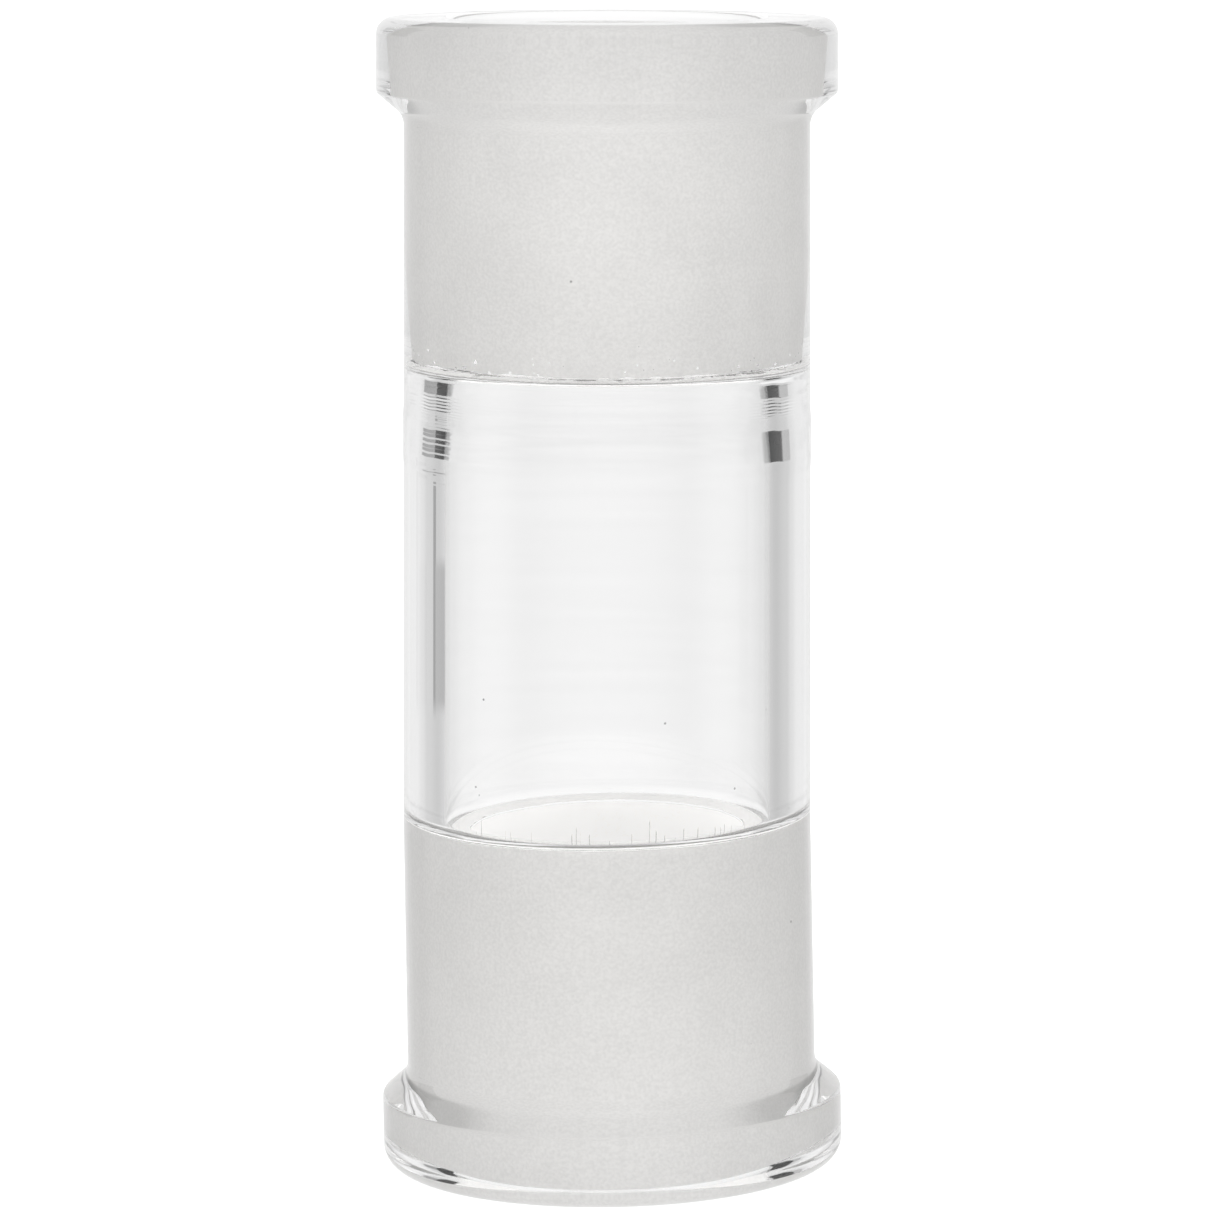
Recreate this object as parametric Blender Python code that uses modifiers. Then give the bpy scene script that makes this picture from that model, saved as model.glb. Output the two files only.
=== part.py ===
"""Straight socket-to-socket adapter for ground-glass joints, in borosilicate glass.

Three lengths of glass are sealed end to end: a heavy-walled socket blank at the top, a plain
centre tube, and the same socket blank, turned over, at the bottom. Each socket has a tapered
ground bore, a thick beaded rim at its mouth, and a shoulder where the ground bore meets the
wider bore of the centre tube. The seals are fused, so nothing moves.

Units are metres, +Z is up along the bore, and the origin is the centre of the resting face.
"""

import math

import bpy

MM = 0.001

# Joint size 19/22: 18.8 mm across the mouth, ground for 22 mm, taper 1 in 10 on the diameter.
JOINT_MOUTH_RADIUS = 9.4 * MM
JOINT_LENGTH = 22.0 * MM
JOINT_TAPER = 0.1
JOINT_SMALL_RADIUS = JOINT_MOUTH_RADIUS - JOINT_LENGTH * JOINT_TAPER / 2

# The tube that both socket blanks are sealed to. A seal is a narrow fused band of glass, and
# the pieces on either side of it stop at its two faces.
TUBE_RADIUS = 13.0 * MM
TUBE_WALL = 2.6 * MM
TUBE_BORE_RADIUS = TUBE_RADIUS - TUBE_WALL
OVERALL_HEIGHT = 72.8 * MM
SEAL_FROM_MOUTH = 26.5 * MM
SEAL_BAND = 0.3 * MM
SOCKET_LENGTH = SEAL_FROM_MOUTH - SEAL_BAND / 2
TUBE_LENGTH = OVERALL_HEIGHT - 2 * SEAL_FROM_MOUTH - SEAL_BAND

# The rim: a flat resting face, a rounded outer edge, an upright band and a sloped underside.
RIM_RADIUS = 14.7 * MM
RIM_BAND_END = 4.5 * MM
RIM_EDGE_ROUNDING = 1.05 * MM
RIM_CORNER_ROUNDING = 0.4 * MM
RIM_SLOPE_DEGREES = 40.0
RIM_FILLET = 1.4 * MM
MOUTH_ROUNDING = 0.62 * MM

# The shoulder: it rises a little from the ground bore out to the fillet of the tube's bore.
SHOULDER_EDGE_ROUNDING = 0.2 * MM
SHOULDER_RISE = 0.25 * MM
SHOULDER_FILLET = 0.7 * MM

SEGMENTS = 72


def arc(centre_radius, centre_height, radius, start, end, steps):
    """Profile points along an arc, as (radius, height) pairs. Angles are in degrees."""
    points = []
    for step in range(steps + 1):
        angle = math.radians(start + (end - start) * step / steps)
        across = centre_radius + radius * math.cos(angle)
        up = centre_height + radius * math.sin(angle)
        points.append((across, up))
    return points


def rim_outline():
    """The outside of the rim, from the fillet at the tube down to the edge of the flat face."""
    slope = math.radians(RIM_SLOPE_DEGREES)
    corner_centre = RIM_RADIUS - RIM_CORNER_ROUNDING
    corner = arc(
        corner_centre, RIM_BAND_END, RIM_CORNER_ROUNDING, 90 - RIM_SLOPE_DEGREES, 0, 3
    )
    slope_foot_radius, slope_foot_height = corner[0]
    slope_head_radius = TUBE_RADIUS + RIM_FILLET * (1 - math.sin(slope))
    slope_drop = (slope_foot_radius - slope_head_radius) * math.tan(slope)
    fillet_height = slope_foot_height + slope_drop + RIM_FILLET * math.cos(slope)
    fillet = arc(
        TUBE_RADIUS + RIM_FILLET, fillet_height, RIM_FILLET, 180, 270 - RIM_SLOPE_DEGREES, 5
    )
    edge = arc(
        RIM_RADIUS - RIM_EDGE_ROUNDING, RIM_EDGE_ROUNDING, RIM_EDGE_ROUNDING, 0, -90, 5
    )
    return fillet + corner + edge


def ground_bore_outline():
    """The ground taper, from the rounded mouth up to the shoulder's rounded inner edge."""
    mouth_radius = JOINT_MOUTH_RADIUS - MOUTH_ROUNDING * JOINT_TAPER / 2
    mouth = arc(
        mouth_radius + MOUTH_ROUNDING, MOUTH_ROUNDING, MOUTH_ROUNDING, -90, -180, 4
    )
    edge = arc(
        JOINT_SMALL_RADIUS + SHOULDER_EDGE_ROUNDING,
        JOINT_LENGTH - SHOULDER_EDGE_ROUNDING,
        SHOULDER_EDGE_ROUNDING,
        180,
        90,
        2,
    )
    return mouth + edge


def shoulder_outline():
    """The concave corner between the shoulder and the bore of the tube."""
    return arc(
        TUBE_BORE_RADIUS - SHOULDER_FILLET,
        JOINT_LENGTH + SHOULDER_RISE + SHOULDER_FILLET,
        SHOULDER_FILLET,
        -90,
        0,
        4,
    )


def socket_profile():
    """The closed section of one socket blank, mouth down: outside going down, bore going up."""
    sealed_end_outside = [(TUBE_RADIUS, SOCKET_LENGTH)]
    sealed_end_inside = [(TUBE_BORE_RADIUS, SOCKET_LENGTH)]
    return (
        sealed_end_outside
        + rim_outline()
        + ground_bore_outline()
        + shoulder_outline()
        + sealed_end_inside
    )


def tube_profile():
    """The closed section of the centre tube, standing on its lower end."""
    return [
        (TUBE_RADIUS, TUBE_LENGTH),
        (TUBE_RADIUS, 0.0),
        (TUBE_BORE_RADIUS, 0.0),
        (TUBE_BORE_RADIUS, TUBE_LENGTH),
    ]


def outline_mesh(name, profile):
    """A closed loop of edges in the XZ plane, for a Screw modifier to turn about Z."""
    count = len(profile)
    points = [(across, 0.0, up) for across, up in profile]
    edges = [(index, (index + 1) % count) for index in range(count)]
    mesh = bpy.data.meshes.new(name)
    mesh.from_pydata(points, edges, [])
    return mesh


def turned_piece(name, mesh, material, parent, collection):
    """One piece of glass: the outline turned through a full circle about the bore's axis."""
    piece = bpy.data.objects.new(name, mesh)
    collection.objects.link(piece)
    piece.parent = parent
    if not mesh.materials:
        mesh.materials.append(material)
    screw = piece.modifiers.new("turn", "SCREW")
    screw.axis = "Z"
    screw.angle = 2 * math.pi
    screw.steps = SEGMENTS
    screw.render_steps = SEGMENTS
    screw.use_merge_vertices = True
    screw.merge_threshold = 0.01 * MM
    screw.use_smooth_shade = True
    return piece


def glass_material(name, colour, roughness):
    """A see-through Principled glass."""
    material = bpy.data.materials.new(name)
    material.use_nodes = True
    shader = material.node_tree.nodes["Principled BSDF"]
    shader.inputs["Base Color"].default_value = (*colour, 1.0)
    shader.inputs["Roughness"].default_value = roughness
    shader.inputs["Metallic"].default_value = 0.0
    shader.inputs["IOR"].default_value = 1.474
    shader.inputs["Transmission Weight"].default_value = 1.0
    return material


def clear_scene():
    """Remove whatever objects the open file holds."""
    for old in list(bpy.data.objects):
        bpy.data.objects.remove(old, do_unlink=True)


def build():
    """Make the three pieces and stand them on one axis, the upper socket turned over."""
    clear_scene()
    collection = bpy.data.collections.new("socket_adapter")
    bpy.context.scene.collection.children.link(collection)
    adapter = bpy.data.objects.new("adapter_axis", None)
    collection.objects.link(adapter)

    clear_glass = glass_material("clear_glass", (0.96, 0.97, 0.97), 0.02)
    ground_glass = glass_material("ground_glass", (0.90, 0.90, 0.89), 0.45)
    socket_mesh = outline_mesh("socket_section", socket_profile())
    tube_mesh = outline_mesh("tube_section", tube_profile())

    turned_piece("lower_socket", socket_mesh, ground_glass, adapter, collection)
    centre_tube = turned_piece("centre_tube", tube_mesh, clear_glass, adapter, collection)
    centre_tube.location.z = SOCKET_LENGTH + SEAL_BAND
    upper_socket = turned_piece("upper_socket", socket_mesh, ground_glass, adapter, collection)
    upper_socket.location.z = OVERALL_HEIGHT
    upper_socket.rotation_euler.x = math.pi


build()
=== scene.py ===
"""Looks for the straight socket-to-socket glass adapter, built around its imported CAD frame."""

import math
from collections import namedtuple

import bpy
import numpy as np
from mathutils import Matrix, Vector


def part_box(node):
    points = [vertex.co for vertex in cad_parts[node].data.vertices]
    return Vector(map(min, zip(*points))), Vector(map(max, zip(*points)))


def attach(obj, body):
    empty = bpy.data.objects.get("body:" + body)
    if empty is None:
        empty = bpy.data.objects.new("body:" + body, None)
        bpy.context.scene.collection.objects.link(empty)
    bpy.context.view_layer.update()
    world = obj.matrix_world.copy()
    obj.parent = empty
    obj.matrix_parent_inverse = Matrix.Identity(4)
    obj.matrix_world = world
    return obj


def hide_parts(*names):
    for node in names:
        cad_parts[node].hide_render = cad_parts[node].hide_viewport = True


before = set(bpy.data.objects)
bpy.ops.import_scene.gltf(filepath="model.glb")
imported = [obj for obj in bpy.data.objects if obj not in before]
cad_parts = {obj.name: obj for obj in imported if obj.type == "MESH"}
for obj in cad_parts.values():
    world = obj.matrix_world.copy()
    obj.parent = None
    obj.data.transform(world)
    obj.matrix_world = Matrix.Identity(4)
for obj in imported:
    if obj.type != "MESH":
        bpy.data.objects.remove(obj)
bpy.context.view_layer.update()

MM = 0.001
TINY = 1e-9

# ---------------------------------------------------------------- places, from the CAD frame

LOWER_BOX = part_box("lower_socket")
TUBE_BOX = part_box("centre_tube")
UPPER_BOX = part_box("upper_socket")
HEIGHT = UPPER_BOX[1].z
LOWER_SEAL = (LOWER_BOX[1].z + TUBE_BOX[0].z) / 2
UPPER_SEAL = (TUBE_BOX[1].z + UPPER_BOX[0].z) / 2
RIM_RADIUS = LOWER_BOX[1].x
TUBE_RADIUS = TUBE_BOX[1].x

# ---------------------------------------------------------------- the section of the glass

BORE_RADIUS = TUBE_RADIUS - 2.6 * MM
RIM_CORNER_ROUNDING = 0.4 * MM
RIM_SLOPE = math.radians(40)
RIM_FILLET = 1.4 * MM
MOUTH_ROUNDING = 0.90 * MM
SHOULDER_EDGE_ROUNDING = 0.18 * MM

# Hand-finished glass: the two sockets are a little different from each other. Lengths are along
# the bore from the mouth, and mouth and small are the radii of the two ends of the ground taper.
# The last four say how the ground surface looks: how readily grains are left bare, how ragged
# its inner end is, how much dimmer it is towards the mouth, and how dark its scratches are.
Socket = namedtuple(
    "Socket",
    "rim_radius band_end edge mouth small ground rise fillet bare_grains ragged mouth_shade scratched",
)
UPPER = Socket(
    rim_radius=RIM_RADIUS + 0.07 * MM,
    band_end=4.6 * MM,
    edge=1.05 * MM,
    mouth=9.58 * MM,
    small=8.42 * MM,
    ground=22.25 * MM,
    rise=0.08 * MM,
    fillet=0.40 * MM,
    bare_grains=0.31,
    ragged=0.5 * MM,
    mouth_shade=0.0,
    scratched=0.0,
)
LOWER = Socket(
    rim_radius=RIM_RADIUS - 0.08 * MM,
    band_end=4.28 * MM,
    edge=1.36 * MM,
    mouth=9.85 * MM,
    small=8.68 * MM,
    ground=21.45 * MM,
    rise=0.05 * MM,
    fillet=0.90 * MM,
    bare_grains=0.16,
    ragged=0.15 * MM,
    mouth_shade=0.04,
    scratched=0.45,
)

# How finely the section is drawn: strips round the axis, steps along straight stretches, and
# steps round each rounded one.
SEGMENTS = 256
WALL_STEP = 0.25 * MM
FLAT_STEP = 1.0 * MM
INNER_RIPPLE_STEP = 0.035 * MM
OUTER_RIPPLE_STEP = 0.15 * MM
RIM_CORNER_STEPS = 8
RIM_FILLET_STEPS = 14
RIM_EDGE_STEPS = 20
MOUTH_STEPS = 12
SHOULDER_EDGE_STEPS = 6
SHOULDER_FILLET_STEPS = 16

# Where the flame has rippled the wall at the upper seal, as lengths below the top face.
RIPPLED = (22.2 * MM, 30.0 * MM)
NOT_RIPPLED = (0.0, 0.0)


def arc(centre_radius, centre_height, radius, start, end, steps):
    """Points along an arc of the section, as (radius, height) pairs. Angles are in degrees."""
    angles = np.radians(np.linspace(start, end, steps + 1))
    return list(zip(centre_radius + radius * np.cos(angles), centre_height + radius * np.sin(angles)))


def straight(start, end, step):
    """Points between two ends of a straight stretch, with neither end included."""
    length = math.dist(start, end)
    count = max(1, int(length / step))
    shares = np.linspace(0, 1, count + 1)[1:-1]
    return [tuple(np.array(start) * (1 - s) + np.array(end) * s) for s in shares]


def wall(radius, low, high, rippled, fine_step):
    """Points up an upright wall, close together where it is rippled."""
    heights = [low]
    while heights[-1] < high - TINY:
        near = rippled[0] - WALL_STEP < heights[-1] < rippled[1]
        step = fine_step if near else WALL_STEP
        heights.append(min(high, heights[-1] + step))
    return [(radius, height) for height in heights]


def outer_wall(low, high, rippled):
    """The outside of the tube, going down."""
    return wall(TUBE_RADIUS, low, high, rippled, OUTER_RIPPLE_STEP)[::-1]


def inner_wall(low, high, rippled):
    """The bore of the tube, going up."""
    return wall(BORE_RADIUS, low, high, rippled, INNER_RIPPLE_STEP)


def rim_outline(socket):
    """Outside of the rim, from the top of its fillet down to the flat resting face."""
    slope_degrees = math.degrees(RIM_SLOPE)
    corner = arc(socket.rim_radius - RIM_CORNER_ROUNDING, socket.band_end, RIM_CORNER_ROUNDING,
                 90 - slope_degrees, 0, RIM_CORNER_STEPS)
    head_radius = TUBE_RADIUS + RIM_FILLET * (1 - math.sin(RIM_SLOPE))
    drop = (corner[0][0] - head_radius) * math.tan(RIM_SLOPE)
    fillet_height = corner[0][1] + drop + RIM_FILLET * math.cos(RIM_SLOPE)
    fillet = arc(TUBE_RADIUS + RIM_FILLET, fillet_height, RIM_FILLET,
                 180, 270 - slope_degrees, RIM_FILLET_STEPS)
    edge = arc(socket.rim_radius - socket.edge, socket.edge, socket.edge, 0, -90, RIM_EDGE_STEPS)
    slope = straight(fillet[-1], corner[0], WALL_STEP)
    band = straight(corner[-1], edge[0], WALL_STEP)
    return fillet + slope + corner + band + edge


def shoulder_fillet(socket):
    """The concave corner between the shoulder and the bore of the tube."""
    return arc(BORE_RADIUS - socket.fillet, socket.ground + socket.rise + socket.fillet,
               socket.fillet, -90, 0, SHOULDER_FILLET_STEPS)


def ground_bore(socket, shoulder_end):
    """Inside of the socket, from the mouth up the ground taper and out over the shoulder."""
    mouth = arc(socket.mouth + MOUTH_ROUNDING, MOUTH_ROUNDING, MOUTH_ROUNDING, -90, -180, MOUTH_STEPS)
    edge = arc(socket.small + SHOULDER_EDGE_ROUNDING, socket.ground - SHOULDER_EDGE_ROUNDING,
               SHOULDER_EDGE_ROUNDING, 180, 95, SHOULDER_EDGE_STEPS)
    taper = straight(mouth[-1], edge[0], WALL_STEP)
    shoulder = straight(edge[-1], shoulder_end, WALL_STEP)
    return mouth + taper + edge + shoulder


def socket_outline(socket, seal, rippled):
    """Closed section of a socket standing on its mouth, and where in it the tube's bore starts."""
    rim = rim_outline(socket)
    fillet = shoulder_fillet(socket)
    bore = ground_bore(socket, fillet[0])
    outside = outer_wall(rim[0][1], seal, rippled)[:-1]
    flat = straight(rim[-1], bore[0], FLAT_STEP)
    tube_bore = fillet + inner_wall(fillet[-1][1], seal, rippled)[1:]
    start = outside + rim + flat + bore
    return start + tube_bore, len(start)


def tube_outline(low, high, rippled):
    """Closed section of the centre tube, and where in it the bore starts."""
    outside = outer_wall(low, high, rippled)
    return outside + inner_wall(low, high, rippled), len(outside)


# ---------------------------------------------------------------- marks left by the flame

# Places are in millimetres below the top face, and depths and periods are in millimetres.
# A taper is deepest before its start and runs out over its length. A band fades over soft at
# each end.
Taper = namedtuple("Taper", "depth start length")
Band = namedtuple("Band", "depth low high soft")
TAIL_TAPER = Taper(depth=0.09, start=23.0, length=0.8)
TAIL_OPENING = (22.4, 0.5)
TUBE_TAPER = Taper(depth=0.16, start=25.85, length=2.0)
FINE_BAND = Band(depth=0.005, low=23.9, high=25.1, soft=0.4)
LEFT_BAND = Band(depth=0.0015, low=22.8, high=29.2, soft=0.8)
OUTER_BAND = Band(depth=0.05, low=25.1, high=28.4, soft=1.2)

FINE_RINGS = [(1.0, 0.21, 2.0)]
LEFT_RINGS = [(1.0, 0.31, 5.0), (0.8, 0.47, -3.0)]

# The rings aren't level. They wander up and down round the axis, with a little jitter.
WANDER = [(0.35, 1, 0.4), (0.15, 3, 1.7)]
WANDER_SHARE = 0.5
JITTER = [(0.02, 23, 0.0), (0.015, 41, 1.0)]


def smooth(share):
    """A smooth step from 0 to 1 as share goes from 0 to 1."""
    return share * share * (3 - 2 * share)


def ramp(t, start, length):
    """0 up to start, then rising evenly to 1 over length."""
    return np.clip((t - start) / length, 0, 1)


def taper_depth(t, taper):
    return taper.depth * (1 - ramp(t, taper.start, taper.length))


def band_depth(t, band):
    rise = np.clip((t - band.low) / band.soft + 0.5, 0, 1)
    fall = np.clip((band.high - t) / band.soft + 0.5, 0, 1)
    return band.depth * smooth(rise) * smooth(fall)


def waves(angle, terms):
    """A sum of waves round the axis, each given as size, number of waves and phase."""
    return sum(size * np.sin(count * angle + phase) for size, count, phase in terms)


def rings(t, wander, terms):
    """A sum of rings down the wall, each given as size, period and shift by the wander."""
    return sum(
        size * np.sin(t * 2 * math.pi / period + shift * wander) for size, period, shift in terms)


def seal_ripple(height, angle, inner):
    """How far the wall stands out at the upper seal, where the flame has drawn it into rings.

    The bore opens in two short tapers, at the socket's tail and at the tube, with fine rings
    between them and more rings on the left.
    """
    wander = waves(angle, WANDER)
    t = (HEIGHT - height) / MM - WANDER_SHARE * wander + waves(angle, JITTER)
    if not inner:
        return band_depth(t, OUTER_BAND) * MM
    tail = taper_depth(t, TAIL_TAPER) * ramp(t, *TAIL_OPENING)
    fine = band_depth(t, FINE_BAND) * rings(t, wander, FINE_RINGS)
    on_left = np.clip(-np.cos(angle), 0, 1) ** 2
    left = on_left * band_depth(t, LEFT_BAND) * rings(t, wander, LEFT_RINGS)
    return (fine + left - tail - taper_depth(t, TUBE_TAPER)) * MM


def upturned_ripple(height, angle, inner):
    """The same ripple for the upper socket while it still stands on its mouth."""
    return seal_ripple(HEIGHT - height, -angle, inner)


# ---------------------------------------------------------------- meshes

SHARP_ANGLE = math.radians(60)

# The lower socket is sealed on slightly askew, so it leans by about a degree. It moves over to
# the right from the pivot's height down, and its levels are fully tilted below LEAN_FULL.
LEAN = math.radians(1.03)
LEAN_PIVOT = 21.5 * MM
LEAN_SOFT = 0.4 * MM
LEAN_FULL = LEAN_PIVOT + 0.9 * MM


def add_object(name, data):
    """A new object in the scene."""
    thing = bpy.data.objects.new(name, data)
    bpy.context.scene.collection.objects.link(thing)
    return thing


def leaned(vertices):
    """Tilt the stretch below the lower seal over to the right."""
    x = vertices[..., 0]
    z = vertices[..., 2]
    share = np.clip((LOWER_SEAL - z) / (LOWER_SEAL - LEAN_FULL), 0, 1)
    below = (LEAN_PIVOT - z + np.hypot(LEAN_PIVOT - z, LEAN_SOFT)) / 2
    tilted = vertices.copy()
    tilted[..., 0] = x + below * math.sin(LEAN)
    tilted[..., 2] = z + x * smooth(share) * math.sin(LEAN)
    return tilted


def turned_mesh(name, outline, inner_start=0, ripple=None, lean=False):
    """Turn a closed outline about Z, keeping each point's own radius and height as attributes."""
    points = np.array(outline)
    count = len(points)
    angles = np.linspace(0, 2 * math.pi, SEGMENTS, endpoint=False)
    radius = np.repeat(points[:, 0:1], SEGMENTS, axis=1)
    height = np.repeat(points[:, 1:2], SEGMENTS, axis=1)
    around = np.repeat(angles[None, :], count, axis=0)
    row = np.arange(count)[:, None]
    if ripple:
        on_bore = row >= inner_start
        radius = radius + np.where(on_bore, ripple(height, around, True), ripple(height, around, False))
    vertices = np.stack([radius * np.cos(around), radius * np.sin(around), height], axis=-1)
    if lean:
        vertices = leaned(vertices)
    next_row = (row + 1) % count
    turn = np.arange(SEGMENTS)[None, :]
    next_turn = (turn + 1) % SEGMENTS
    corners = [(row, turn), (next_row, turn), (next_row, next_turn), (row, next_turn)]
    faces = np.stack([r * SEGMENTS + t for r, t in corners], axis=-1).reshape(-1, 4)
    mesh = bpy.data.meshes.new(name)
    mesh.from_pydata(vertices.reshape(-1, 3), [], faces.tolist())
    for key, values in (("across", points[:, 0]), ("depth", points[:, 1])):
        attribute = mesh.attributes.new(key, "FLOAT", "POINT")
        attribute.data.foreach_set("value", np.repeat(values, SEGMENTS).astype(np.float32))
    return mesh


def turn_over(mesh):
    """Turn a socket mesh over so that its mouth is at the top of the adapter."""
    places = np.empty(len(mesh.vertices) * 3)
    mesh.vertices.foreach_get("co", places)
    places = places.reshape(-1, 3)
    places[:, 1] *= -1
    places[:, 2] = HEIGHT - places[:, 2]
    mesh.vertices.foreach_set("co", places.ravel())


def glass_piece(mesh, node, glass, seal, seal_strips):
    """Put a mesh in the scene in place of its CAD node, with the strips at its seals see-through."""
    mesh.materials.append(glass)
    mesh.materials.append(seal)
    slots = np.zeros(len(mesh.polygons), dtype=np.int32)
    for strip in seal_strips:
        slots[strip * SEGMENTS:(strip + 1) * SEGMENTS] = 1
    mesh.polygons.foreach_set("material_index", slots)
    mesh.update()
    mesh.shade_smooth()
    mesh.set_sharp_from_angle(angle=SHARP_ANGLE)
    piece = add_object(mesh.name, mesh)
    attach(piece, "root")
    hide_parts(node)


# ---------------------------------------------------------------- nodes

# Soft noise lies mostly in the middle range, and nearly all of it in the wide one.
MIDDLE = (0.3, 0.7)
WIDE = (0.2, 0.8)

# How far beyond a radius a surface still counts as within it: not at all, and fully.
WITHIN = (0.3 * MM, 0.2 * MM)


def maths(tree, operation, *values):
    """A Math node whose inputs are node outputs or numbers. Gives its output."""
    node = tree.nodes.new("ShaderNodeMath")
    node.operation = operation
    for place, value in zip(node.inputs, values):
        if isinstance(value, (int, float)):
            place.default_value = value
        else:
            tree.links.new(value, place)
    return node.outputs[0]


def product(tree, *values):
    """All the values multiplied together."""
    result = values[0]
    for value in values[1:]:
        result = maths(tree, "MULTIPLY", result, value)
    return result


def smooth_range(tree, value, start, end, low=0.0, high=1.0):
    """A smooth step from low to high as value goes from start to end."""
    node = tree.nodes.new("ShaderNodeMapRange")
    node.interpolation_type = "SMOOTHSTEP"
    tree.links.new(value, node.inputs["Value"])
    node.inputs["From Min"].default_value = start
    node.inputs["From Max"].default_value = end
    node.inputs["To Min"].default_value = low
    node.inputs["To Max"].default_value = high
    return node.outputs["Result"]


def between(tree, value, low, high, soft):
    """1 where value lies between low and high, falling to 0 over soft at each end."""
    rise = smooth_range(tree, value, low - soft / 2, low + soft / 2)
    fall = smooth_range(tree, value, high - soft / 2, high + soft / 2, 1.0, 0.0)
    return maths(tree, "MULTIPLY", rise, fall)


def noise(tree, vector, scale, detail=2.0):
    """Soft noise between 0 and 1. Scale is in cells per metre."""
    node = tree.nodes.new("ShaderNodeTexNoise")
    node.inputs["Scale"].default_value = scale
    node.inputs["Detail"].default_value = detail
    tree.links.new(vector, node.inputs["Vector"])
    return node.outputs["Fac"]


def noise_along(tree, value, scale, offset):
    """Soft noise between 0 and 1 along one number."""
    node = tree.nodes.new("ShaderNodeTexNoise")
    node.noise_dimensions = "1D"
    node.inputs["Scale"].default_value = scale
    node.inputs["Detail"].default_value = 0.0
    tree.links.new(maths(tree, "ADD", value, offset), node.inputs["W"])
    return node.outputs["Fac"]


def specks(tree, vector, cells, size):
    """1 at sparse specks of the given size, 0 elsewhere. Cells is in cells per metre."""
    node = tree.nodes.new("ShaderNodeTexVoronoi")
    node.inputs["Scale"].default_value = cells
    tree.links.new(vector, node.inputs["Vector"])
    return smooth_range(tree, node.outputs["Distance"], size * cells, 0.6 * size * cells)


def stretched(tree, vector, across, up):
    """The vector scaled by across in X and Y and by up in Z."""
    node = tree.nodes.new("ShaderNodeMapping")
    node.inputs["Scale"].default_value = (across, across, up)
    tree.links.new(vector, node.inputs["Vector"])
    return node.outputs["Vector"]


def separate(tree, vector):
    """The X, Y and Z of a vector."""
    split = tree.nodes.new("ShaderNodeSeparateXYZ")
    tree.links.new(vector, split.inputs["Vector"])
    return split.outputs


def object_place(tree):
    return tree.nodes.new("ShaderNodeTexCoord").outputs["Object"]


def attribute(tree, name):
    node = tree.nodes.new("ShaderNodeAttribute")
    node.attribute_name = name
    return node.outputs["Fac"]


def within(tree, radius):
    """1 on surfaces turned at the given radius or less, 0 on those further out."""
    return smooth_range(tree, attribute(tree, "across"), radius + WITHIN[0], radius + WITHIN[1])


def tinted(tree, value, tint):
    """A colour: the tint at the brightness that a value gives."""
    node = tree.nodes.new("ShaderNodeCombineColor")
    for place, share in zip(node.inputs, tint):
        tree.links.new(maths(tree, "MULTIPLY", value, share), place)
    return node.outputs["Color"]


def grey_colour(level):
    return (level, level, level, 1)


def mixed(tree, share, first, second):
    """Shader first moved towards shader second by share."""
    mix = tree.nodes.new("ShaderNodeMixShader")
    tree.links.new(share, mix.inputs["Fac"])
    tree.links.new(first, mix.inputs[1])
    tree.links.new(second, mix.inputs[2])
    return mix.outputs["Shader"]


def new_material(name):
    material = bpy.data.materials.new(name)
    material.use_nodes = True
    material.node_tree.nodes.clear()
    return material, material.node_tree


def surface(tree, shader):
    """Make a shader the material's surface."""
    output = tree.nodes.new("ShaderNodeOutputMaterial")
    tree.links.new(shader, output.inputs["Surface"])


# ---------------------------------------------------------------- clear glass

GLASS_IOR = 1.474
GLASS_TINT = 0.998
SHADOW_LEVEL = 0.97
DEEP_BOUNCES = 9.5
# Painted glow: the even grey light that a ray trapped deep in the glass ends in.
PAINTED_DEEP_GLOW = 0.78

# Streaks in the drawn glass, in cells per metre across and up, and stronger near the upper seal.
STREAK_CELLS = (60.0, 1500.0)
STREAK_STRENGTH = 0.012
SEAL_STREAK_STRENGTH = 0.022
SEAL_STREAKS = (UPPER_SEAL - 2.0 * MM, UPPER_SEAL + 3.0 * MM, 3.0 * MM)

# Dust: round specks, and flecks drawn out upright.
DUST_DARKNESS = 0.8
SPECK_CELLS = 250.0
SPECK_SIZE = 0.10 * MM
FLECK_CELLS = 330.0
FLECK_SIZE = 0.05 * MM
FLECK_STRETCH = 0.10

# Scratches: noise round the axis picks out thin lines, and a second one their lengths.
SCRATCH_CELLS = 80.0
SCRATCH_PICKED = (0.68, 0.73)
SCRATCH_LENGTH = 2.2 * MM
SCRATCH_LENGTH_CELLS = 14.0
SCRATCH_OFFSETS = (20.0, 40.0)
SCRATCH_START = 0.1 * MM
SCRATCH_FADE = 0.2 * MM
SCRATCHED_FRONT = (-3.0 * MM, -8.0 * MM)


def finish_glass(material, tree, shader):
    """Let shadow rays through, so the glass casts only a faint shadow, and light up its depths.

    A ray that has bounced about inside the wall many times ends in an even painted glow, which stands in for
    the light such a ray would gather in real glass, where the faces are never quite perfect.
    """
    clear = tree.nodes.new("ShaderNodeBsdfTransparent")
    clear.inputs["Color"].default_value = grey_colour(SHADOW_LEVEL)
    path = tree.nodes.new("ShaderNodeLightPath")
    # Painted glow, in place of the light that rays trapped in the wall would gather.
    glow = tree.nodes.new("ShaderNodeEmission")
    glow.inputs["Color"].default_value = grey_colour(PAINTED_DEEP_GLOW)
    trapped = maths(tree, "GREATER_THAN", path.outputs["Ray Depth"], DEEP_BOUNCES)
    shader = mixed(tree, trapped, shader, glow.outputs["Emission"])
    surface(tree, mixed(tree, path.outputs["Is Shadow Ray"], shader, clear.outputs["BSDF"]))
    material.cycles.emission_sampling = "NONE"


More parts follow.
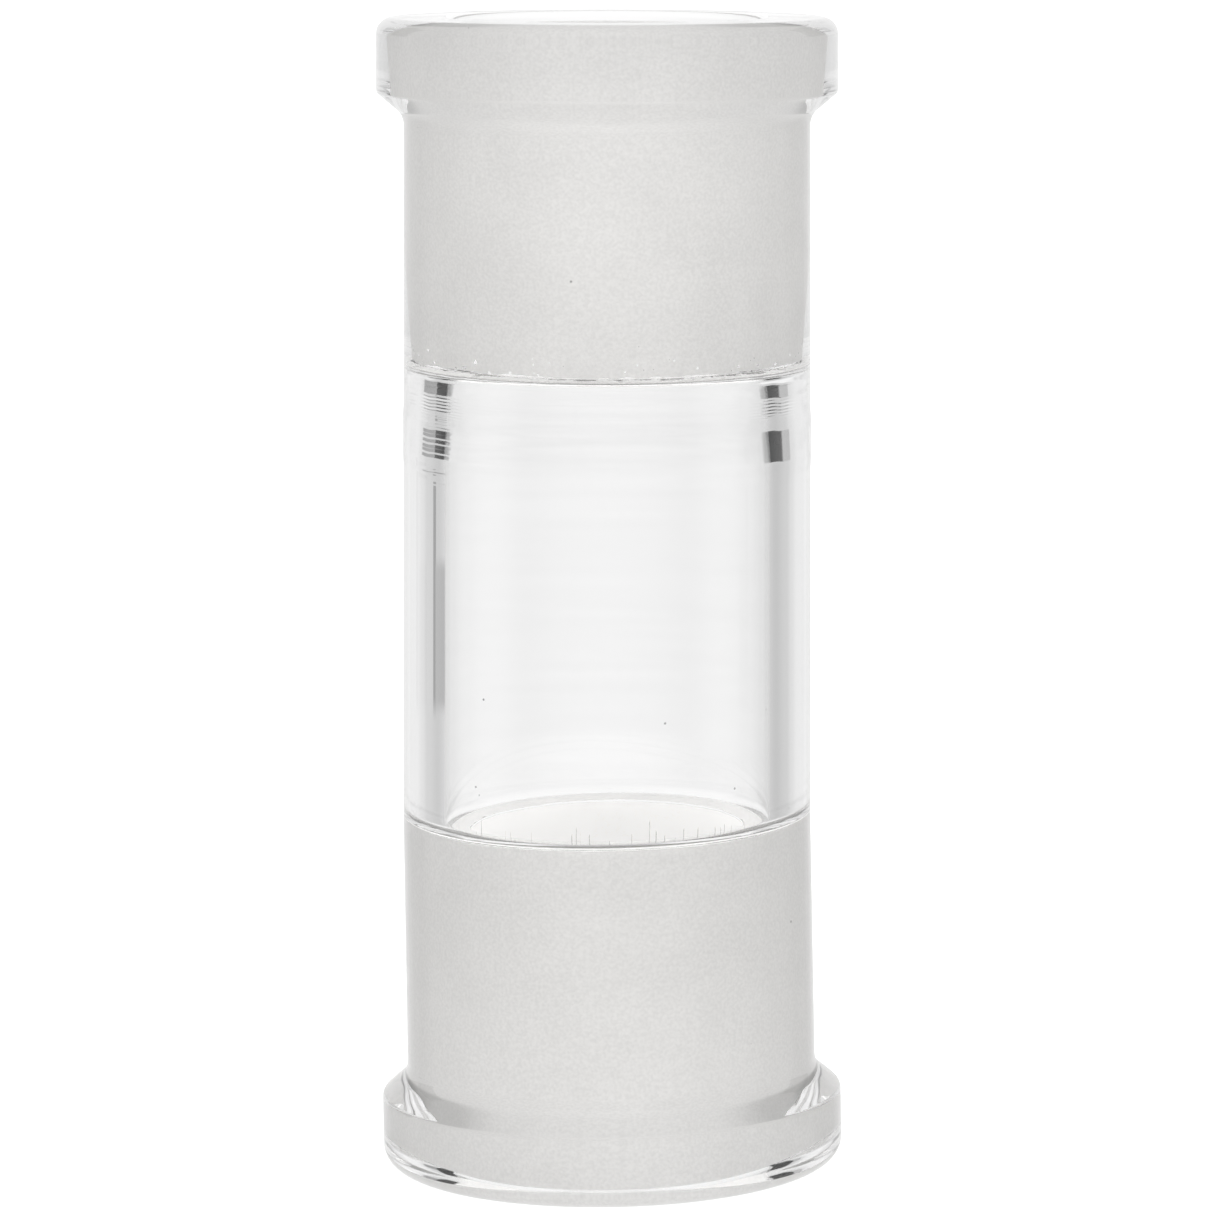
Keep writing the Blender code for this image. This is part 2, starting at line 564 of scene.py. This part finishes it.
def scratches(tree, place, socket):
    """Short upright scratches in the front of the bore, from the shoulder up."""
    x, y = separate(tree, place)[:2]
    turn = maths(tree, "ARCTAN2", y, x)
    lines = noise_along(tree, turn, SCRATCH_CELLS, SCRATCH_OFFSETS[0])
    line = smooth_range(tree, lines, *SCRATCH_PICKED, 0.0, socket.scratched)
    shares = noise_along(tree, turn, SCRATCH_LENGTH_CELLS, SCRATCH_OFFSETS[1])
    length = maths(tree, "MULTIPLY", shares, SCRATCH_LENGTH)
    past_shoulder = maths(tree, "SUBTRACT", attribute(tree, "depth"), socket.ground + socket.rise)
    begun = smooth_range(tree, past_shoulder, 0.0, SCRATCH_START)
    not_ended = smooth_range(tree, maths(tree, "SUBTRACT", length, past_shoulder), 0.0, SCRATCH_FADE)
    in_front = smooth_range(tree, y, *SCRATCHED_FRONT)
    return product(tree, line, begun, not_ended, within(tree, BORE_RADIUS), in_front)


def dust(tree, place):
    """1 on a speck or a fleck of dust, 0 elsewhere."""
    fleck_place = stretched(tree, place, 1.0, FLECK_STRETCH)
    return maths(tree, "MAXIMUM", specks(tree, place, SPECK_CELLS, SPECK_SIZE),
                 specks(tree, fleck_place, FLECK_CELLS, FLECK_SIZE))


def polished(tree, place, marks=None):
    """Fire-polished glass with faint streaks, a little dust and any marks."""
    height = separate(tree, place)[2]
    near_seal = between(tree, height, *SEAL_STREAKS)
    strength = maths(tree, "MULTIPLY_ADD", near_seal, SEAL_STREAK_STRENGTH, STREAK_STRENGTH)
    streaks = smooth_range(tree, noise(tree, stretched(tree, place, *STREAK_CELLS), 1.0), *MIDDLE)
    tint = maths(tree, "SUBTRACT", GLASS_TINT, maths(tree, "MULTIPLY", streaks, strength))
    tint = maths(tree, "MULTIPLY", tint, maths(tree, "MULTIPLY_ADD", dust(tree, place), -DUST_DARKNESS, 1.0))
    if marks:
        tint = maths(tree, "MULTIPLY", tint, maths(tree, "SUBTRACT", 1.0, marks))
    shader = tree.nodes.new("ShaderNodeBsdfPrincipled")
    shader.inputs["IOR"].default_value = GLASS_IOR
    shader.inputs["Transmission Weight"].default_value = 1.0
    shader.inputs["Roughness"].default_value = 0.0
    tree.links.new(tinted(tree, tint, (1.0, 1.0, 1.0)), shader.inputs["Base Color"])
    return shader.outputs["BSDF"]


def clear_glass():
    material, tree = new_material("clear_glass")
    finish_glass(material, tree, polished(tree, object_place(tree)))
    return material


def seal_face():
    """The faces where two pieces are fused: light goes straight through them."""
    material, tree = new_material("fused_seal")
    surface(tree, tree.nodes.new("ShaderNodeBsdfTransparent").outputs["BSDF"])
    return material


# ---------------------------------------------------------------- ground glass

GROUND_THROUGH = 0.49
GROUND_BACK = 0.20
GROUND_WARMTH = (1.0, 0.994, 0.983)
GRAIN_CELLS = 5200.0
GRAIN_STRENGTH = 0.055
CLOUD_CELLS = 260.0
CLOUD_STRENGTH = 0.012

# How the painted light and shade in the ground surface's colour change with the line of sight. Facing
# is the cosine of the angle between the surface and the line of sight, climb is how steeply that line
# goes up or down, and level is how level the surface lies.
FORWARD_IN_GLASS = 0.27
FORWARD_SHARPNESS = 1.8
GAIN_IN_AIR = 1.60
STEEP_CLIMB = (0.36, 0.43)
EDGE_ON_FACING = (0.80, 0.58)
EDGE_ON_PAINTED_SHADE = 0.22
GRAZING_FACING = (0.45, 0.20)
GRAZING_PAINTED_SHADE = 0.25
LEVEL_LEDGE = (0.3, 0.7)
LEDGE_PAINTED_LIGHT = 0.35

# It is dimmer towards the mouth, between these shares of the ground length.
MOUTH_SHADE = (0.95, 0.6)

# Where the grinding stops: it is worn off a little way inside the mouth, further in at the two
# sides, and it ends a little way above the shoulder.
MOUTH_WEAR = (0.60 * MM, 0.66 * MM)
SIDE_WEAR = 0.45 * MM
PAST_SHOULDER = (0.25 * MM, 0.15 * MM)

# Bare marks, by their distance before the end of the ground taper: a ragged strip, and grains
# that become commoner, as the noise needed for one falls. The fillet is bare a little out from
# its foot.
BARE_STRIP = (0.04 * MM, 0.16 * MM)
BARE_STRIP_SOFT = 0.04 * MM
RAGGED_CELLS = 900.0
BARE_GRAINS = (3.0 * MM, 0.2 * MM)
BARE_GRAIN_CELLS = 2600.0
BARE_GRAIN_SOFT = 0.03
FEW_GRAINS = 0.84
TAPER_END = (0.3 * MM, 0.2 * MM)
BARE_FILLET = (0.45 * MM, 0.55 * MM)


def painted_view_light(tree):
    """How much painted light the ground surface's colour gets seen square on, standing in for most light
    going forwards through it.

    It is painted brighter still from the air side, with only one layer of ground glass in the way. It gets
    painted shade edge on behind the slope of the rim, standing in for the rim sending the light elsewhere,
    and painted light on a ledge.
    """
    shape = tree.nodes.new("ShaderNodeNewGeometry")
    dot = tree.nodes.new("ShaderNodeVectorMath")
    dot.operation = "DOT_PRODUCT"
    tree.links.new(shape.outputs["Incoming"], dot.inputs[0])
    tree.links.new(shape.outputs["Normal"], dot.inputs[1])
    facing = maths(tree, "ABSOLUTE", dot.outputs["Value"])
    square_on = maths(tree, "MAXIMUM", maths(tree, "MULTIPLY_ADD", facing, 2.0, -1.0), 0.0)
    forward = maths(tree, "POWER", square_on, FORWARD_SHARPNESS)
    climb = maths(tree, "ABSOLUTE", separate(tree, shape.outputs["Incoming"])[2])
    steep = smooth_range(tree, climb, *STEEP_CLIMB)
    # Painted shade edge on and grazing behind the rim's slope, and painted light on a level ledge.
    edge_on = smooth_range(tree, facing, *EDGE_ON_FACING, 0.0, EDGE_ON_PAINTED_SHADE)
    grazing = smooth_range(tree, facing, *GRAZING_FACING, 0.0, GRAZING_PAINTED_SHADE)
    painted_shade = maths(tree, "MULTIPLY", maths(tree, "ADD", edge_on, grazing), steep)
    level = maths(tree, "ABSOLUTE", separate(tree, shape.outputs["Normal"])[2])
    ledge = smooth_range(tree, level, *LEVEL_LEDGE, 0.0, LEDGE_PAINTED_LIGHT)
    in_glass = maths(tree, "MULTIPLY_ADD", forward, FORWARD_IN_GLASS, 1.0)
    in_glass = maths(tree, "ADD", maths(tree, "SUBTRACT", in_glass, painted_shade), ledge)
    difference = maths(tree, "SUBTRACT", in_glass, GAIN_IN_AIR)
    return maths(tree, "MULTIPLY_ADD", difference, shape.outputs["Backfacing"], GAIN_IN_AIR)


def matt(tree, place, socket):
    """A ground surface: light goes on through it and comes back from it in all directions."""
    grain = noise(tree, place, GRAIN_CELLS)
    grain = smooth_range(tree, grain, *WIDE, 1 - GRAIN_STRENGTH, 1 + GRAIN_STRENGTH)
    cloud = noise(tree, place, CLOUD_CELLS)
    cloud = smooth_range(tree, cloud, *MIDDLE, -CLOUD_STRENGTH, CLOUD_STRENGTH)
    share = maths(tree, "DIVIDE", attribute(tree, "depth"), socket.ground)
    to_mouth = smooth_range(tree, share, *MOUTH_SHADE, 1.0, 1 - socket.mouth_shade)
    # The ground's own grain and clouds, times painted light and shade by line of sight, and dimmer towards
    # the mouth.
    grain_and_painted_light = product(tree, maths(tree, "ADD", grain, cloud), painted_view_light(tree), to_mouth)
    through = tree.nodes.new("ShaderNodeBsdfTranslucent")
    back = tree.nodes.new("ShaderNodeBsdfDiffuse")
    both = tree.nodes.new("ShaderNodeAddShader")
    for term, shader, level in zip(both.inputs, (through, back), (GROUND_THROUGH, GROUND_BACK)):
        colour = tinted(tree, maths(tree, "MULTIPLY", grain_and_painted_light, level), GROUND_WARMTH)
        tree.links.new(colour, shader.inputs["Color"])
        tree.links.new(shader.outputs["BSDF"], term)
    return both.outputs["Shader"]


def ground_stretch(tree, place, socket):
    """1 where the socket is ground: up its taper and over the shoulder."""
    depth = attribute(tree, "depth")
    sideways = maths(tree, "DIVIDE", separate(tree, place)[0], socket.mouth)
    worn_depth = maths(tree, "MULTIPLY_ADD", maths(tree, "POWER", sideways, 4.0), -SIDE_WEAR, depth)
    start = smooth_range(tree, worn_depth, *MOUTH_WEAR)
    shoulder = socket.ground + socket.rise
    end = smooth_range(tree, depth, shoulder + PAST_SHOULDER[0], shoulder + PAST_SHOULDER[1])
    return product(tree, within(tree, socket.mouth), start, end)


def bare_marks(tree, place, socket):
    """1 where the ground stretch is left bare: at the shoulder's edge, in grains, and on the fillet."""
    before_end = maths(tree, "SUBTRACT", socket.ground, attribute(tree, "depth"))
    ragged = maths(tree, "SUBTRACT", noise(tree, place, RAGGED_CELLS, 4.0), 0.5)
    wandering = maths(tree, "MULTIPLY_ADD", ragged, -socket.ragged, before_end)
    strip = between(tree, wandering, *BARE_STRIP, BARE_STRIP_SOFT)
    needed = smooth_range(tree, before_end, *BARE_GRAINS, FEW_GRAINS, 1 - socket.bare_grains)
    above = maths(tree, "SUBTRACT", noise(tree, place, BARE_GRAIN_CELLS, 1.0), needed)
    grains = smooth_range(tree, above, 0.0, BARE_GRAIN_SOFT)
    out_from_foot = maths(tree, "SUBTRACT", attribute(tree, "across"), BORE_RADIUS - socket.fillet)
    outward = smooth_range(tree, out_from_foot, *BARE_FILLET)
    on_fillet = maths(tree, "MULTIPLY", outward, smooth_range(tree, before_end, *TAPER_END))
    return maths(tree, "MAXIMUM", maths(tree, "MAXIMUM", strip, grains), on_fillet)


def ground_glass(name, socket):
    """Clear glass outside, ground matt in the tapered bore as far as a slightly ragged edge."""
    material, tree = new_material(name)
    place = object_place(tree)
    not_bare = maths(tree, "SUBTRACT", 1.0, bare_marks(tree, place, socket))
    ground = maths(tree, "MULTIPLY", ground_stretch(tree, place, socket), not_bare)
    clear = polished(tree, place, scratches(tree, place, socket))
    finish_glass(material, tree, mixed(tree, ground, clear, matt(tree, place, socket)))
    return material


# ---------------------------------------------------------------- the studio

AIM_HEIGHT = 0.482 * HEIGHT
CAMERA_DISTANCE = 28.5 * TUBE_RADIUS
CAMERA_HEIGHT = 1.191 * HEIGHT
SENSOR = 36.0
LENS = 172.0
VIEW_RANGE = (0.01, 20.0)

# Brightness of the studio, in degrees round from straight behind the glass to straight in front.
BACKDROP_WHITE = 1.04
SIDE_LEVELS = [(0, 0.975), (7, 0.90), (18, 0.86), (28, 0.72), (35, 0.60), (48, 0.53), (68, 0.80),
               (95, 0.90), (130, 0.4), (180, 0.3)]
LEFT_GAIN = 0.045

# Zones above and below: where each sets in and is full, in degrees up, how much it covers, and
# how bright it is. They are the table, painted shade for the table straight below the adapter, and the
# ceiling.
Zone = namedtuple("Zone", "start full share level")
ZONES = [
    Zone(-16.0, -30.0, 0.8, 1.0),
    # Painted shade: the table in the adapter's shadow, seen straight down through the glass.
    Zone(-62.0, -75.0, 1.0, 0.50),
    Zone(25.0, 50.0, 1.0, 0.90),
]

# Dark things in the studio that show in the glass: where each starts and ends, in degrees to the
# right of straight behind and in degrees up, how soft those edges are, and how bright it is.
Card = namedtuple("Card", "left right soft_across low high soft_up level")
CARDS = [
    Card(39.5, 62, 3, 1.5, 31, 3, 0.02),
    Card(30, 39.5, 2, 1.5, 17, 2, 0.45),
    Card(-62, -44, 2, 1.5, 31, 3, 0.02),
    Card(-44, -29, 3, 1.5, 17, 2, 0.30),
    Card(-46.2, -42.8, 0.8, -8.9, -6.6, 0.3, 0.28),
    Card(-57, -45.6, 0.8, -8.9, -7.5, 0.2, 0.42),
]

# The floor and its lamp. They light the ground glass, but the clear glass doesn't show them.
FLOOR_RADIUS = 3.5
FLOOR_CORNERS = 96
FLOOR_DROP = 0.3 * MM
FLOOR_LEVEL = 0.9
LAMP_STRENGTH = 3.2
LAMP_SPREAD = math.radians(70)
LAMP_HEIGHT = 0.6


def transform_variable(driver, name, thing, channel):
    """A driver variable that reads one channel of an object's place or turn."""
    variable = driver.variables.new()
    variable.name = name
    variable.type = "TRANSFORMS"
    target = variable.targets[0]
    target.id = thing
    target.transform_type = channel
    target.transform_space = "WORLD_SPACE"
    target.rotation_mode = "XYZ"


def make_camera():
    """A level camera with its lens shifted down, so upright edges stay upright in the picture.

    The shift is worked out from the camera's place, so a camera that is moved still looks at the
    middle of the adapter.
    """
    data = bpy.data.cameras.new("camera")
    camera = add_object("camera", data)
    camera.location = (0, -CAMERA_DISTANCE, CAMERA_HEIGHT)
    camera.rotation_euler = (math.pi / 2, 0, 0)
    data.sensor_width = SENSOR
    data.lens = LENS
    data.clip_start, data.clip_end = VIEW_RANGE
    driver = data.driver_add("shift_y").driver
    for name, channel in (("x", "LOC_X"), ("y", "LOC_Y"), ("z", "LOC_Z"), ("tilt", "ROT_X")):
        transform_variable(driver, name, camera, channel)
    drop = f"atan2(z - {AIM_HEIGHT:.5f}, sqrt(x * x + y * y))"
    driver.expression = f"-tan({drop} + tilt - pi / 2) * {LENS / SENSOR:.5f}"
    bpy.context.scene.camera = camera
    return camera


def make_rig(camera):
    """An empty that turns with the camera, so the studio's light comes from behind the glass."""
    rig = add_object("studio_rig", None)
    follow = rig.constraints.new("COPY_ROTATION")
    follow.target = camera
    follow.use_x = False
    follow.use_y = False
    return rig


def level_by_angle(tree, angle, stops):
    """A brightness that follows (degrees, level) stops as angle goes from 0 to 180 degrees."""
    curve = tree.nodes.new("ShaderNodeValToRGB")
    curve.color_ramp.interpolation = "EASE"
    elements = curve.color_ramp.elements
    while len(elements) < len(stops):
        elements.new(0.5)
    for element, (degrees, level) in zip(elements, stops):
        element.position = degrees / 180
        element.color = grey_colour(level)
    tree.links.new(maths(tree, "DIVIDE", angle, 180.0), curve.inputs["Fac"])
    return curve.outputs["Color"]


def blend_to(tree, level, target, share):
    """Level moved towards target by share."""
    kept = maths(tree, "MULTIPLY", level, maths(tree, "SUBTRACT", 1.0, share))
    return maths(tree, "ADD", kept, maths(tree, "MULTIPLY", share, target))


def make_world(rig):
    """Light round the object: white behind it, greyer to the sides, dim towards the camera.

    The camera itself sees plain white. Only the glass shows the rest, by bending and reflecting it.
    """
    world = bpy.data.worlds.new("studio")
    world.use_nodes = True
    tree = world.node_tree
    tree.nodes.clear()
    place = tree.nodes.new("ShaderNodeTexCoord")
    place.object = rig
    x, y, z = separate(tree, place.outputs["Object"])
    turn = maths(tree, "DEGREES", maths(tree, "ARCTAN2", x, y))
    rise = maths(tree, "DEGREES", maths(tree, "ARCSINE", z))
    level = level_by_angle(tree, maths(tree, "ABSOLUTE", turn), SIDE_LEVELS)
    slant = maths(tree, "SUBTRACT", 1.0, maths(tree, "MULTIPLY", x, LEFT_GAIN))
    level = maths(tree, "MULTIPLY", level, slant)
    for zone in ZONES:
        covered = smooth_range(tree, rise, zone.start, zone.full, 0.0, zone.share)
        level = blend_to(tree, level, zone.level, covered)
    for card in CARDS:
        across = between(tree, turn, card.left, card.right, card.soft_across)
        up = between(tree, rise, card.low, card.high, card.soft_up)
        level = blend_to(tree, level, card.level, maths(tree, "MULTIPLY", across, up))
    seen = tree.nodes.new("ShaderNodeLightPath").outputs["Is Camera Ray"]
    level = blend_to(tree, level, 1.0, seen)
    light = tree.nodes.new("ShaderNodeBackground")
    light.inputs["Color"].default_value = grey_colour(1.0)
    tree.links.new(maths(tree, "MULTIPLY", level, BACKDROP_WHITE), light.inputs["Strength"])
    output = tree.nodes.new("ShaderNodeOutputWorld")
    tree.links.new(light.outputs["Background"], output.inputs["Surface"])
    bpy.context.scene.world = world


def out_of_the_glass(thing):
    """Keep a thing out of what the clear glass bends and reflects."""
    thing.visible_glossy = False
    thing.visible_transmission = False


def make_floor():
    """A plain pale floor, a little below the adapter's foot."""
    mesh = bpy.data.meshes.new("floor")
    angles = np.linspace(0, 2 * math.pi, FLOOR_CORNERS, endpoint=False)
    edge = [(FLOOR_RADIUS * math.cos(a), FLOOR_RADIUS * math.sin(a), 0) for a in angles]
    mesh.from_pydata(edge, [], [list(range(FLOOR_CORNERS))])
    floor = add_object("floor", mesh)
    floor.location.z = -FLOOR_DROP
    out_of_the_glass(floor)
    material, tree = new_material("pale_floor")
    paint = tree.nodes.new("ShaderNodeBsdfDiffuse")
    paint.inputs["Color"].default_value = grey_colour(FLOOR_LEVEL)
    surface(tree, paint.outputs["BSDF"])
    mesh.materials.append(material)


def make_lamp():
    """A broad overhead lamp."""
    data = bpy.data.lights.new("overhead", "SUN")
    data.energy = LAMP_STRENGTH
    data.angle = LAMP_SPREAD
    lamp = add_object("overhead", data)
    lamp.location = (0, 0, LAMP_HEIGHT)
    out_of_the_glass(lamp)


def allow_deep_light(scene):
    """Let light go through many faces of glass, and keep colours as they are."""
    scene.view_settings.view_transform = "Standard"
    scene.cycles.max_bounces = 32
    scene.cycles.transmission_bounces = 24
    scene.cycles.glossy_bounces = 16
    scene.cycles.transparent_max_bounces = 32
    scene.cycles.caustics_reflective = True
    scene.cycles.caustics_refractive = True
    scene.cycles.use_denoising = True


# ---------------------------------------------------------------- build

seal = seal_face()

low_outline, _ = socket_outline(LOWER, LOWER_SEAL, NOT_RIPPLED)
low_mesh = turned_mesh("lower_socket_glass", low_outline, lean=True)
low_glass = ground_glass("ground_glass_lower", LOWER)
glass_piece(low_mesh, "lower_socket", low_glass, seal, [len(low_outline) - 1])

high_outline, high_bore = socket_outline(UPPER, HEIGHT - UPPER_SEAL, RIPPLED)
high_mesh = turned_mesh("upper_socket_glass", high_outline, high_bore, upturned_ripple)
turn_over(high_mesh)
high_glass = ground_glass("ground_glass_upper", UPPER)
glass_piece(high_mesh, "upper_socket", high_glass, seal, [len(high_outline) - 1])

rippled_heights = (HEIGHT - RIPPLED[1], HEIGHT - RIPPLED[0])
mid_outline, mid_bore = tube_outline(LOWER_SEAL, UPPER_SEAL, rippled_heights)
mid_mesh = turned_mesh("centre_tube_glass", mid_outline, mid_bore, seal_ripple)
mid_strips = [mid_bore - 1, len(mid_outline) - 1]
glass_piece(mid_mesh, "centre_tube", clear_glass(), seal, mid_strips)

camera = make_camera()
make_world(make_rig(camera))
make_floor()
make_lamp()
allow_deep_light(bpy.context.scene)
